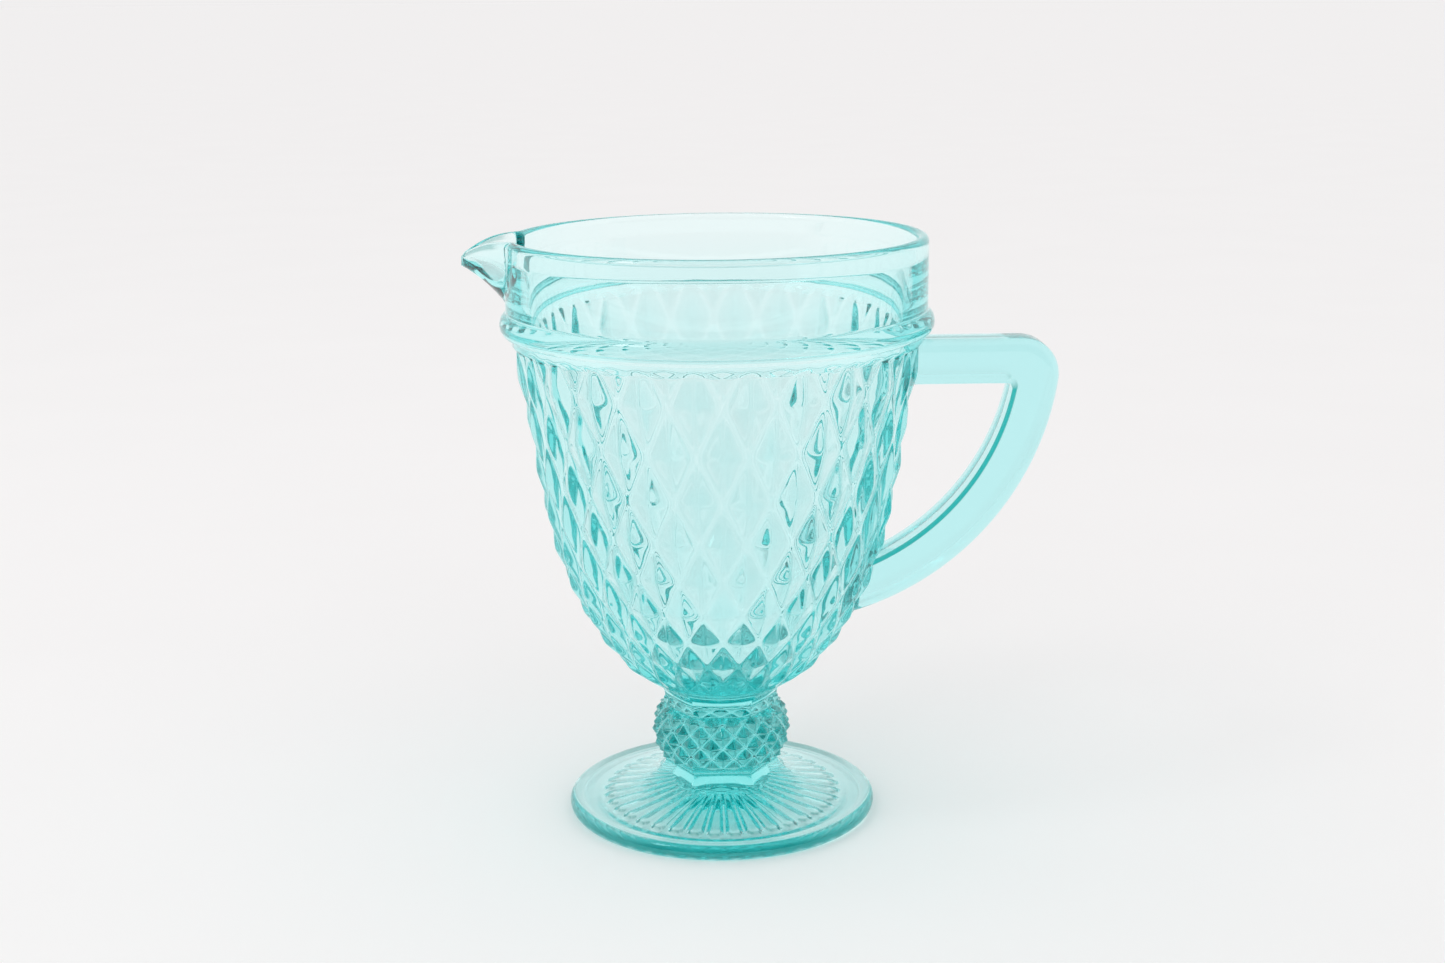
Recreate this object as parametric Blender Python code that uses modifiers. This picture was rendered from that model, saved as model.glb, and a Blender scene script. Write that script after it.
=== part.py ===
# Footed pressed-glass jug: diamond-patterned bowl, plain rim band with a bead, pouring spout,
# bar handle, hexagonal stem with a knop, and a round foot fluted on its underside.
# Metres, +Z up. The origin is the centre of the foot's underside. Spout at -X, handle at +X.
import math

import bmesh
import bpy
from mathutils import Vector

MM = 0.001

# Fits
JOINT_GAP = 0.3 * MM

# Heights of the stacked pieces
FOOT_HEIGHT = 15.5 * MM
KNOP_HEIGHT = 20.4 * MM
BOWL_HEIGHT = 116.2 * MM
BAND_HEIGHT = 32.0 * MM

# Foot
FOOT_RADIUS = 49.3 * MM
FOOT_EDGE = 5.2 * MM
FOOT_BEAD_TURN = math.radians(45)
FOOT_RISE = 2.4 * MM
STEM_RADIUS = 15.4 * MM
STEM_FILLET = 8.0 * MM
FLUTE_COUNT = 36
FLUTE_INNER_RADIUS = 13.0 * MM
FLUTE_OUTER_RADIUS = 37.0 * MM
FLUTE_ROOT = 0.8 * MM
FLUTE_END = 2.35 * MM
FLUTE_END_TURN = math.radians(80)
FLUTE_END_POINTS = 3

# Stem knop
COLLAR_LIP = 0.8 * MM
COLLAR_DEPTH = 2.4 * MM
NECK_APOTHEM = 15.9 * MM
NECK_DEPTH = 1.4 * MM
SHOULDER_DROP = 2.0 * MM
KNOP_RADIUS = 22.3 * MM
KNOP_CROWN = 2.4 * MM
KNOP_DIAMONDS = 18
KNOP_ROWS = 3
KNOP_ROW_HEIGHT = 3.7 * MM
KNOP_PATTERN_DEPTH = 1.2 * MM

# Bowl
BOWL_TOP_RADIUS = 63.5 * MM
BOWL_TAPER = 0.165
BELLY_HEIGHT = 68.0 * MM
BELLY_POWER = 2.3
WALL = 5.6 * MM
CAVITY_TAPER = 0.204
BASE_THICKNESS = 8.5 * MM
FLOOR_POWER = 2.4
NECK_FLARE = 8.2 * MM
DIAMONDS = 24
HALF_ROWS = 8
ROW_SHRINK = 0.53
PATTERN_DEPTH = 2.0 * MM
FIRST_CROSSING_DROP = 10.2 * MM
PATTERN_END_RISE = 13.3 * MM
NECK_RINGS = 4
CAVITY_WALL_POINTS = 4
CAVITY_FLOOR_POINTS = 10

# Rim band and bead
BAND_STEP = 1.4 * MM
RIM_WALL = 3.9 * MM
BEAD_SECTION = 4.0 * MM
BEAD_PROUD = 3.5 * MM
BEAD_RISE = 5.8 * MM
BAND_STRAIGHT = 6.4 * MM

# Pouring spout
SPOUT_REACH = 13.1 * MM
SPOUT_HALF_WIDTH = 16.0 * MM
SPOUT_DEPTH = 19.0 * MM
SPOUT_TIP_DROP = 5.4 * MM
SPOUT_TIP_HALF_WIDTH = 2.2 * MM
SPOUT_TIP_DEPTH = 3.2 * MM
SPOUT_LIP = 2.4 * MM
SPOUT_TIP_LIP = 1.0 * MM
SPOUT_PLAN_POWER = 1.25
SPOUT_LIP_POWER = 1.8
CHANNEL_DEPTH = 14.5 * MM
CHANNEL_TIP_DEPTH = 1.8 * MM

# Handle
BAR_WIDTH = 14.0 * MM
BAR_THICKNESS = 16.0 * MM
BAR_ROUNDING = 4.0 * MM
BAR_ROUNDING_STEPS = 2
BAR_EDGE_ANGLE = math.radians(60)
ARM_DROP = 0.3 * MM
HANDLE_STANDOFF = 35.7 * MM
GRIP_RADIUS = 82.5 * MM
GRIP_FOOT_RISE = 38.2 * MM
OUTER_CORNER = 11.5 * MM
INNER_CORNER = 2.0 * MM
SEAT_SINK = 16.0 * MM

# Facets round the turned pieces, and along arcs
STEPS = 2 * DIAMONDS
ARC_POINTS = 7
GRIP_POINTS = 18
SPOUT_STATIONS = 9
SPOUT_SIDES = 12

# Heights above the table that follow from the stack
KNOP_BASE = FOOT_HEIGHT + JOINT_GAP
KNOP_TOP = KNOP_BASE + KNOP_HEIGHT
BARREL_BASE = KNOP_BASE + COLLAR_DEPTH
BARREL_TOP = KNOP_TOP - NECK_DEPTH
BOWL_BASE = KNOP_TOP + JOINT_GAP
BOWL_TOP = BOWL_BASE + BOWL_HEIGHT
BAND_BASE = BOWL_TOP + JOINT_GAP
RIM_TOP = BAND_BASE + BAND_HEIGHT
BELLY_TOP = BOWL_BASE + BELLY_HEIGHT
FLOOR = BOWL_BASE + BASE_THICKNESS

# Radii that follow from the bowl
BAND_RADIUS = BOWL_TOP_RADIUS + BAND_STEP
BASE_INNER_RADIUS = BOWL_TOP_RADIUS - WALL
RIM_INNER_RADIUS = BAND_RADIUS - RIM_WALL
BEAD_CENTRE_RADIUS = BOWL_TOP_RADIUS + BEAD_PROUD - BEAD_SECTION
COLLAR_APOTHEM = STEM_RADIUS + COLLAR_LIP

# Where the spout's sections begin, well inside the rim
SPOUT_START = -(RIM_INNER_RADIUS - SPOUT_HALF_WIDTH)

# How far a cutter runs past the faces that it opens
CUT_PAST = 5.0 * MM

# Points closer than this are one point, and faces closer to level than this are one face
MERGE_DISTANCE = 0.01 * MM
FLAT_ANGLE = math.radians(0.5)

GLASS = (0.36, 0.80, 0.79, 1.0)
PALE_GLASS = (0.55, 0.88, 0.88, 1.0)
GLASS_ROUGHNESS = 0.03
SOFT_ROUGHNESS = 0.12
GLASS_IOR = 1.5


def clear_scene():
    for item in list(bpy.data.objects):
        bpy.data.objects.remove(item, do_unlink=True)


def make_collection(name):
    collection = bpy.data.collections.new(name)
    bpy.context.scene.collection.children.link(collection)
    return collection


def glass_material(name, colour, roughness):
    material = bpy.data.materials.new(name)
    material.use_nodes = True
    shader = material.node_tree.nodes["Principled BSDF"]
    shader.inputs["Base Color"].default_value = colour
    shader.inputs["Roughness"].default_value = roughness
    shader.inputs["Metallic"].default_value = 0.0
    shader.inputs["IOR"].default_value = GLASS_IOR
    shader.inputs["Transmission Weight"].default_value = 1.0
    return material


def add_part(name, data, colour=GLASS, roughness=GLASS_ROUGHNESS):
    part = bpy.data.objects.new(name, data)
    parts.objects.link(part)
    data.materials.append(glass_material(name + "_glass", colour, roughness))
    return part


def add_cutter(name, data):
    cutter = bpy.data.objects.new(name, data)
    cutters.objects.link(cutter)
    cutter.hide_render = True
    cutter.display_type = "WIRE"
    return cutter


def cut(part, cutter):
    boolean = part.modifiers.new(cutter.name, "BOOLEAN")
    boolean.operation = "DIFFERENCE"
    boolean.solver = "EXACT"
    boolean.object = cutter


def turn(item, steps):
    screw = item.modifiers.new("Turn", "SCREW")
    screw.axis = "Z"
    screw.angle = 2 * math.pi
    screw.steps = steps
    screw.render_steps = steps
    screw.use_merge_vertices = True
    screw.merge_threshold = MERGE_DISTANCE
    screw.use_smooth_shade = True


def profile_mesh(name, points, closed):
    mesh = bpy.data.meshes.new(name)
    last = len(points) if closed else len(points) - 1
    edges = [(i, (i + 1) % len(points)) for i in range(last)]
    mesh.from_pydata([(radius, 0.0, height) for radius, height in points], edges, [])
    return mesh


def skin_mesh(name, rings, phase=0):
    # Rings of equal length, joined by triangles whose diagonals alternate, and closed by a flat
    # cap at each end. The phase sets which way the first diagonal leans, so that the diagonals
    # of a diamond pattern run along its lattice.
    builder = bmesh.new()
    rows = [[builder.verts.new(point) for point in ring] for ring in rings]
    count = len(rows[0])
    for k in range(len(rows) - 1):
        upper = rows[k]
        lower = rows[k + 1]
        for i in range(count):
            j = (i + 1) % count
            if (i + k + phase) % 2 == 0:
                builder.faces.new((upper[i], lower[i], lower[j]))
                builder.faces.new((upper[i], lower[j], upper[j]))
            else:
                builder.faces.new((upper[i], lower[i], upper[j]))
                builder.faces.new((upper[j], lower[i], lower[j]))
    builder.faces.new(rows[0])
    builder.faces.new(list(reversed(rows[-1])))
    bmesh.ops.recalc_face_normals(builder, faces=builder.faces)
    mesh = bpy.data.meshes.new(name)
    builder.to_mesh(mesh)
    builder.free()
    return mesh


def curve_to_mesh(curve_object):
    depsgraph = bpy.context.evaluated_depsgraph_get()
    mesh = bpy.data.meshes.new_from_object(curve_object.evaluated_get(depsgraph))
    mesh.transform(curve_object.matrix_world)
    builder = bmesh.new()
    builder.from_mesh(mesh)
    bmesh.ops.remove_doubles(builder, verts=builder.verts, dist=MERGE_DISTANCE)
    bmesh.ops.dissolve_limit(builder, angle_limit=FLAT_ANGLE, verts=builder.verts, edges=builder.edges)
    bmesh.ops.recalc_face_normals(builder, faces=builder.faces)
    builder.to_mesh(mesh)
    builder.free()
    bpy.data.objects.remove(curve_object, do_unlink=True)
    mesh.materials.clear()
    return mesh


def arc(centre, radius, start, end, count):
    points = []
    for i in range(count):
        angle = start + (end - start) * i / (count - 1)
        x = centre[0] + radius * math.cos(angle)
        y = centre[1] + radius * math.sin(angle)
        points.append((x, y))
    return points


def hexagon_radius(angle, apothem):
    # Distance from the axis to a regular hexagon's side, with corners at 0, 60, 120 degrees.
    sector = math.pi / 3
    return apothem / math.cos(angle % sector - sector / 2)


def ring(count, height, radius_at):
    points = []
    for i in range(count):
        angle = 2 * math.pi * i / count
        radius = radius_at(i, angle)
        points.append(Vector((radius * math.cos(angle), radius * math.sin(angle), height)))
    return points


# Foot

def foot_profile():
    edge = FOOT_EDGE / 2
    flat_radius = FOOT_RADIUS - edge
    top = FOOT_EDGE + FOOT_RISE
    # A cove between the upright stem and the gently sloping top of the foot
    fillet = min(STEM_FILLET, FOOT_HEIGHT - top)
    cove_centre = (STEM_RADIUS + fillet, top + fillet)
    points = [(0.0, FOOT_HEIGHT), (STEM_RADIUS, FOOT_HEIGHT)]
    cove = arc(cove_centre, fillet, math.pi, 1.5 * math.pi, ARC_POINTS)
    if FOOT_HEIGHT - top - fillet < JOINT_GAP:
        cove = cove[1:]
    points += cove
    # The rounded edge stands a little proud of the top, like a bead
    points += arc((flat_radius, edge), edge, math.pi / 2 + FOOT_BEAD_TURN, -math.pi / 2, ARC_POINTS)
    points.append((0.0, 0.0))
    return points


def flute_cutter():
    # One tube per flute, lying in the underside: thin near the stem, wide and round at its outer end.
    # The bevel depth is one metre, so that each point's radius is a plain length.
    curve = bpy.data.curves.new("flutes", "CURVE")
    curve.dimensions = "3D"
    curve.bevel_depth = 1.0
    curve.bevel_resolution = 1
    curve.use_fill_caps = True
    stations = [(FLUTE_INNER_RADIUS, FLUTE_ROOT)]
    for k in range(FLUTE_END_POINTS):
        angle = FLUTE_END_TURN * k / (FLUTE_END_POINTS - 1)
        distance = FLUTE_OUTER_RADIUS - FLUTE_END + FLUTE_END * math.sin(angle)
        stations.append((distance, FLUTE_END * math.cos(angle)))
    for i in range(FLUTE_COUNT):
        angle = 2 * math.pi * (i + 0.5) / FLUTE_COUNT
        spline = curve.splines.new("POLY")
        spline.points.add(len(stations) - 1)
        for point, (distance, radius) in zip(spline.points, stations):
            point.co = (distance * math.cos(angle), distance * math.sin(angle), 0.0, 1.0)
            point.radius = radius
    guide = bpy.data.objects.new("flutes_guide", curve)
    cutters.objects.link(guide)
    return add_cutter("flutes", curve_to_mesh(guide))


def make_foot():
    foot = add_part("foot", profile_mesh("foot", foot_profile(), closed=False))
    turn(foot, STEPS)
    cut(foot, flute_cutter())
    return foot


# Stem knop

def knop_barrel(height):
    middle = (BARREL_BASE + BARREL_TOP) / 2
    offset = (height - middle) / (BARREL_TOP - middle)
    return KNOP_RADIUS - KNOP_CROWN * offset * offset


def shoulder_edge(count):
    # Where six flat shoulders, falling outwards from the neck's sides, meet the round barrel.
    # The edge is lowest at the middle of a side.
    radius = knop_barrel(BARREL_TOP - SHOULDER_DROP)
    fall = SHOULDER_DROP / (radius - NECK_APOTHEM)
    points = []
    for i in range(count):
        angle = 2 * math.pi * i / count
        across = radius * NECK_APOTHEM / hexagon_radius(angle, NECK_APOTHEM)
        height = BARREL_TOP - fall * (across - NECK_APOTHEM)
        points.append(Vector((radius * math.cos(angle), radius * math.sin(angle), height)))
    return points


def make_knop():
    # Hexagonal collars above and below a barrel of small diamonds, with six flat shoulders on top
    count = 2 * KNOP_DIAMONDS

    def neck(i, angle):
        return hexagon_radius(angle, NECK_APOTHEM)

    def collar(i, angle):
        return hexagon_radius(angle, COLLAR_APOTHEM)

    def foot_of_collar(i, angle):
        return hexagon_radius(angle, STEM_RADIUS)

    rings = [ring(count, KNOP_TOP, neck), ring(count, BARREL_TOP, neck), shoulder_edge(count)]
    for row in range(KNOP_ROWS, 0, -1):
        height = BARREL_BASE + KNOP_ROW_HEIGHT * row

        def barrel(i, angle):
            valley = (i + row + 1) % 2 == 0
            return knop_barrel(height) - (KNOP_PATTERN_DEPTH if valley else 0.0)

        rings.append(ring(count, height, barrel))
    rings += [ring(count, BARREL_BASE, collar), ring(count, KNOP_BASE, foot_of_collar)]
    return add_part("stem_knop", skin_mesh("stem_knop", rings, phase=1))


# Bowl

def bowl_radius(height):
    # Outermost radius of the bowl: a gentle taper above, closing on a rounded belly below.
    taper = BOWL_TOP_RADIUS - BOWL_TAPER * (BOWL_TOP - height)
    share = max(0.0, (BELLY_TOP - height) / BELLY_HEIGHT)
    return taper * (1.0 - share ** BELLY_POWER) ** (1.0 / BELLY_POWER)


def cavity_radius(height):
    taper = BASE_INNER_RADIUS - CAVITY_TAPER * (BOWL_TOP - height)
    share = max(0.0, (BELLY_TOP - height) / (BELLY_TOP - FLOOR))
    return taper * max(0.0, 1.0 - share ** FLOOR_POWER) ** (1.0 / FLOOR_POWER)


def crossing_heights():
    # Heights of the rows of lattice crossings. The half rows shrink evenly towards the base.
    first = BOWL_TOP - FIRST_CROSSING_DROP
    total = first - (BOWL_BASE + PATTERN_END_RISE)
    steps = [1.0 + (ROW_SHRINK - 1.0) * k / (HALF_ROWS - 1) for k in range(HALF_ROWS)]
    heights = [first]
    for step in steps:
        heights.append(heights[-1] - total * step / sum(steps))
    return heights


def bowl_mesh(name, clearance):
    # The solid bowl with its diamonds, grown by a clearance where it serves as a cutter.
    heights = crossing_heights()
    row_above = heights[0] - heights[1]
    cut_share = (BOWL_TOP - heights[0]) / row_above
    rings = []

    def top_ring(i, angle):
        raised = cut_share if i % 2 == 0 else max(0.0, 1.0 - cut_share)
        return bowl_radius(BOWL_TOP) - PATTERN_DEPTH * (1.0 - raised) + clearance

    rings.append(ring(STEPS, BOWL_TOP + clearance, top_ring))
    for row, height in enumerate(heights[:-1]):

        def diamonds(i, angle):
            crossing = (i + row) % 2 == 0
            return bowl_radius(height) - (PATTERN_DEPTH if crossing else 0.0) + clearance

        rings.append(ring(STEPS, height, diamonds))

    smooth_start = heights[-1]
    flare_top = BOWL_BASE + NECK_FLARE
    for height in (smooth_start, (smooth_start + flare_top) / 2):

        def plain(i, angle):
            return bowl_radius(height) - PATTERN_DEPTH / 2 + clearance

        rings.append(ring(STEPS, height, plain))

    # A cove that turns from round under the bowl to hexagonal at the neck
    round_radius = bowl_radius(flare_top) - PATTERN_DEPTH / 2
    for k in range(NECK_RINGS):
        share = 1.0 - k / (NECK_RINGS - 1)
        flare = share * share

        def neck(i, angle):
            hexagon = hexagon_radius(angle, NECK_APOTHEM)
            return round_radius * flare + hexagon * (1.0 - flare) + clearance

        rings.append(ring(STEPS, BOWL_BASE + NECK_FLARE * share, neck))
    return skin_mesh(name, rings, phase=1)


def cavity_profile():
    top = BOWL_TOP + CUT_PAST
    points = [(0.0, top), (cavity_radius(top), top)]
    for i in range(1, CAVITY_WALL_POINTS + 1):
        height = BOWL_TOP + (BELLY_TOP - BOWL_TOP) * i / CAVITY_WALL_POINTS
        points.append((cavity_radius(height), height))
    for i in range(1, CAVITY_FLOOR_POINTS):
        # Points bunch towards the floor, where the curve is tightest
        angle = 0.5 * math.pi * i / CAVITY_FLOOR_POINTS
        height = BELLY_TOP + (FLOOR - BELLY_TOP) * math.sin(angle)
        points.append((cavity_radius(height), height))
    points.append((0.0, FLOOR))
    return points


def make_bowl():
    bowl = add_part("bowl", bowl_mesh("bowl", 0.0))
    cavity = add_cutter("cavity", profile_mesh("cavity", cavity_profile(), closed=False))
    turn(cavity, STEPS)
    cut(bowl, cavity)
    return bowl


# Rim band

def band_profile():
    rounding = RIM_WALL / 2
    bead_centre = (BEAD_CENTRE_RADIUS, BAND_BASE + BEAD_RISE)
    bead_start = math.acos((BAND_RADIUS - BEAD_CENTRE_RADIUS) / BEAD_SECTION)
    bead_end = -math.acos((BOWL_TOP_RADIUS - BEAD_CENTRE_RADIUS) / BEAD_SECTION)
    points = arc((BAND_RADIUS - rounding, RIM_TOP - rounding), rounding, math.pi, 0.0, ARC_POINTS)
    points += arc(bead_centre, BEAD_SECTION, bead_start, bead_end, ARC_POINTS)
    points.append((BOWL_TOP_RADIUS, BAND_BASE))
    # Inside, the wall thins slowly from the bowl up to the straight rim
    points.append((BASE_INNER_RADIUS, BAND_BASE))
    points.append((RIM_INNER_RADIUS, RIM_TOP - BAND_STRAIGHT))
    return points


def make_band(channel):
    band = add_part("rim_band", profile_mesh("rim_band", band_profile(), closed=True))
    turn(band, STEPS)
    cut(band, channel)
    return band


# Pouring spout

def spout_half_width(share):
    spread = SPOUT_HALF_WIDTH - SPOUT_TIP_HALF_WIDTH
    return SPOUT_TIP_HALF_WIDTH + spread * (1.0 - share ** SPOUT_PLAN_POWER)


def spout_lip_height(share):
    return RIM_TOP - SPOUT_TIP_DROP * share ** SPOUT_LIP_POWER


def spout_depth(share):
    return SPOUT_DEPTH + (SPOUT_TIP_DEPTH - SPOUT_DEPTH) * share


def channel_half_width(share):
    lip = SPOUT_LIP + (SPOUT_TIP_LIP - SPOUT_LIP) * share
    return spout_half_width(share) - lip


def channel_depth(share):
    return CHANNEL_DEPTH + (CHANNEL_TIP_DEPTH - CHANNEL_DEPTH) * share


def trough_section(x, half_width, top, depth, crest):
    # Half an ellipse hanging from a top edge, closed by a raised edge when crest is above top.
    points = []
    for i in range(SPOUT_SIDES + 1):
        angle = math.pi * i / SPOUT_SIDES
        points.append(Vector((x, half_width * math.cos(angle), top - depth * math.sin(angle))))
    if crest > top:
        points.append(Vector((x, -half_width, crest)))
        points.append(Vector((x, half_width, crest)))
    return points


def spout_mesh():
    sections = [trough_section(SPOUT_START, spout_half_width(0), RIM_TOP, spout_depth(0), RIM_TOP)]
    for k in range(SPOUT_STATIONS):
        share = k / (SPOUT_STATIONS - 1)
        x = -(BAND_RADIUS + SPOUT_REACH * share)
        lip = spout_lip_height(share)
        sections.append(trough_section(x, spout_half_width(share), lip, spout_depth(share), lip))
    return skin_mesh("pouring_spout", sections)


def channel_cutter():
    crest = RIM_TOP + CUT_PAST
    sections = [trough_section(SPOUT_START, channel_half_width(0), RIM_TOP, channel_depth(0), crest)]
    for k in range(SPOUT_STATIONS):
        share = k / (SPOUT_STATIONS - 1)
        x = -(BAND_RADIUS + SPOUT_REACH * share)
        lip = spout_lip_height(share)
        sections.append(trough_section(x, channel_half_width(share), lip, channel_depth(share), crest))
    beyond = -(BAND_RADIUS + SPOUT_REACH + CUT_PAST)
    lip = spout_lip_height(1.0)
    sections.append(trough_section(beyond, channel_half_width(1.0), lip, channel_depth(1.0), crest))
    return add_cutter("spout_channel", skin_mesh("spout_channel", sections))


def seat_cutter():
    # The band's outer wall with the joint's gap, which the spout is trimmed to
    radius = BAND_RADIUS + JOINT_GAP
    top = RIM_TOP + CUT_PAST
    bottom = RIM_TOP - SPOUT_DEPTH - CUT_PAST
    points = [(0.0, top), (radius, top), (radius, bottom), (0.0, bottom)]
    seat = add_cutter("spout_seat", profile_mesh("spout_seat", points, closed=False))
    turn(seat, STEPS)
    return seat


def make_spout(channel):
    spout = add_part("pouring_spout", spout_mesh())
    cut(spout, seat_cutter())
    cut(spout, channel)
    return spout


# Handle

def grip_centre():
    # Centre of the grip's arc, which runs from the arm's end to the point where the grip meets the bowl
    arm_height = BOWL_TOP - ARM_DROP - BAR_WIDTH / 2
    foot_height = BOWL_BASE + GRIP_FOOT_RISE
    start = Vector((BOWL_TOP_RADIUS + HANDLE_STANDOFF, arm_height))
    end = Vector((bowl_radius(foot_height), foot_height))
    chord = end - start
    inward = Vector((chord.y, -chord.x)).normalized()
    rise = math.sqrt(GRIP_RADIUS ** 2 - (chord.length / 2) ** 2)
    return (start + end) / 2 + inward * rise


def corner_arc(centre, circle_radius, line_height, fillet, count):
    # Fillet inside a circle and under a level line, from the circle up to the line.
    height = line_height - fillet
    x = centre.x + math.sqrt((circle_radius - fillet) ** 2 - (height - centre.y) ** 2)
    start = math.atan2(height - centre.y, x - centre.x)
    return arc((x, height), fillet, start, math.pi / 2, count)


def handle_outline():
    centre = grip_centre()
    arm_top = BOWL_TOP - ARM_DROP
    arm_bottom = arm_top - BAR_WIDTH
    outer = GRIP_RADIUS + BAR_WIDTH / 2
    inner = GRIP_RADIUS - BAR_WIDTH / 2
    foot_height = BOWL_BASE + GRIP_FOOT_RISE
    foot_angle = math.atan2(foot_height - centre.y, bowl_radius(foot_height) - centre.x)
    end_angle = foot_angle - SEAT_SINK / GRIP_RADIUS
    outer_corner = corner_arc(centre, outer, arm_top, OUTER_CORNER, ARC_POINTS)
    inner_corner = corner_arc(centre, inner, arm_bottom, INNER_CORNER, ARC_POINTS)
    outer_start = math.atan2(outer_corner[0][1] - centre.y, outer_corner[0][0] - centre.x)
    inner_start = math.atan2(inner_corner[0][1] - centre.y, inner_corner[0][0] - centre.x)
    arm_end = BOWL_TOP_RADIUS - SEAT_SINK
    points = arc(centre, outer, end_angle, outer_start, GRIP_POINTS)[:-1]
    points += outer_corner
    points += [(arm_end, arm_top), (arm_end, arm_bottom)]
    points += list(reversed(inner_corner))
    points += arc(centre, inner, inner_start, end_angle, GRIP_POINTS)[1:]
    return points


def make_handle():
    curve = bpy.data.curves.new("handle_outline", "CURVE")
    curve.dimensions = "2D"
    curve.fill_mode = "BOTH"
    curve.extrude = BAR_THICKNESS / 2
    outline = handle_outline()
    spline = curve.splines.new("POLY")
    spline.points.add(len(outline) - 1)
    for point, (x, y) in zip(spline.points, outline):
        point.co = (x, y, 0.0, 1.0)
    spline.use_cyclic_u = True
    guide = bpy.data.objects.new("handle_guide", curve)
    guide.rotation_euler = (math.pi / 2, 0.0, 0.0)
    cutters.objects.link(guide)
    bpy.context.view_layer.update()
    handle = add_part("handle", curve_to_mesh(guide), PALE_GLASS, SOFT_ROUGHNESS)
    bevel = handle.modifiers.new("Rounding", "BEVEL")
    bevel.width = BAR_ROUNDING
    bevel.segments = BAR_ROUNDING_STEPS
    bevel.limit_method = "ANGLE"
    bevel.angle_limit = BAR_EDGE_ANGLE
    cut(handle, add_cutter("handle_seat", bowl_mesh("handle_seat", JOINT_GAP)))
    return handle


clear_scene()
parts = make_collection("footed_glass_jug")
cutters = make_collection("cutters")
spout_channel = channel_cutter()
make_foot()
make_knop()
make_bowl()
make_band(spout_channel)
make_spout(spout_channel)
make_handle()
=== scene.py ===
import math

import bpy
import numpy as np
from mathutils import Matrix, Vector


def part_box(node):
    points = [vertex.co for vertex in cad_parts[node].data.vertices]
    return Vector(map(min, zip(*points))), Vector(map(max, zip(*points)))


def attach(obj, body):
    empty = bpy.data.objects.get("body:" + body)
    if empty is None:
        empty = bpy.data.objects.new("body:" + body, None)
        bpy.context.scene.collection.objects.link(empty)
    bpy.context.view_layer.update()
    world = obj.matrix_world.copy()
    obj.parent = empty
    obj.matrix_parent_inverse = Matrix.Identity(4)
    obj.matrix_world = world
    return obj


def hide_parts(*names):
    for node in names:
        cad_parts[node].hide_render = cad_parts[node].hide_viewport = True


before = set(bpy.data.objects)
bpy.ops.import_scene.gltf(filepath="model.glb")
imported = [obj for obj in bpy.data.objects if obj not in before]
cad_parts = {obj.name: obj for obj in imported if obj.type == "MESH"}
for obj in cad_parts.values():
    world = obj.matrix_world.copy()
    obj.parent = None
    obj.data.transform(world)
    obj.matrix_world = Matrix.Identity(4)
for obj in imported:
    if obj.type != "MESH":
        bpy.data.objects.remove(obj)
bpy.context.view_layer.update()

MM = 0.001

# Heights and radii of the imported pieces
FOOT_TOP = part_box("foot")[1].z
FOOT_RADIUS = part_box("foot")[1].x
KNOP_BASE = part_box("stem_knop")[0].z
BOWL_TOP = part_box("bowl")[1].z
BAND_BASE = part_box("rim_band")[0].z
RIM_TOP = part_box("rim_band")[1].z
BEAD_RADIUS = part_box("rim_band")[1].y
SPOUT_TIP = -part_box("pouring_spout")[0].x

# Columns of the skin: whole numbers of them fit every diamond, flute and side
COLUMNS = 648

# Diamonds on the knop and the bowl: how crisp the ridges between their four facets are
RIDGE_POWER = 6.0

# Foot
FOOT_EDGE = 5.2 * MM
BEAD_TURN = math.radians(45)
FOOT_RISE = 2.4 * MM
STEM_RADIUS = 15.4 * MM
FLARE_START = math.radians(50)
FLARE_END = math.radians(10)
UNDERSIDE_RECESS = 0.4 * MM
RECESS_RADIUS = 41.0 * MM
RECESS_RAMP = 2.0 * MM
HOLLOW_RISE = 4.0 * MM
HOLLOW_RADIUS = 38.0 * MM
HUB_RADIUS = 10.5 * MM
FLUTE_COUNT = 36
FLUTE_INNER_RADIUS = 13.0 * MM
FLUTE_OUTER_RADIUS = 37.0 * MM
FLUTE_ROOT = 0.75 * MM
FLUTE_END = 2.6 * MM
FLUTE_DEPTH = 1.5 * MM
FLUTE_POWER = 3
FLUTE_EDGE_PART = 3
HUB_ROWS = 5
FLUTE_ROWS = 40
RIM_ROWS = 8
EDGE_ROWS = 24
FOOT_TOP_ROWS = 12
COVE_ROWS = 16

# Stem knop
COLLAR_APOTHEM = 16.2 * MM
COLLAR_DEPTH = 2.4 * MM
COLLAR_BEVEL = 0.35 * MM
NECK_APOTHEM = 15.9 * MM
NECK_BASE = 34.8 * MM
NECK_TOP = 36.9 * MM
SHOULDER_FALL = 0.39
KNOP_RADIUS = 22.3 * MM
KNOP_CROWN = 2.4 * MM
KNOP_MIDDLE = 26.5 * MM
KNOP_HALF_HEIGHT = 8.3 * MM
KNOP_DIAMONDS = 18
KNOP_PHASE = 0.5
KNOP_CROSSING = 25.7 * MM
KNOP_HALF_ROW = 3.7 * MM
KNOP_PATTERN_DEPTH = 1.7 * MM
KNOP_PEAK = 0.06
KNOP_GROOVE = 0.1
KNOP_ROW_STEPS = 16

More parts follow.
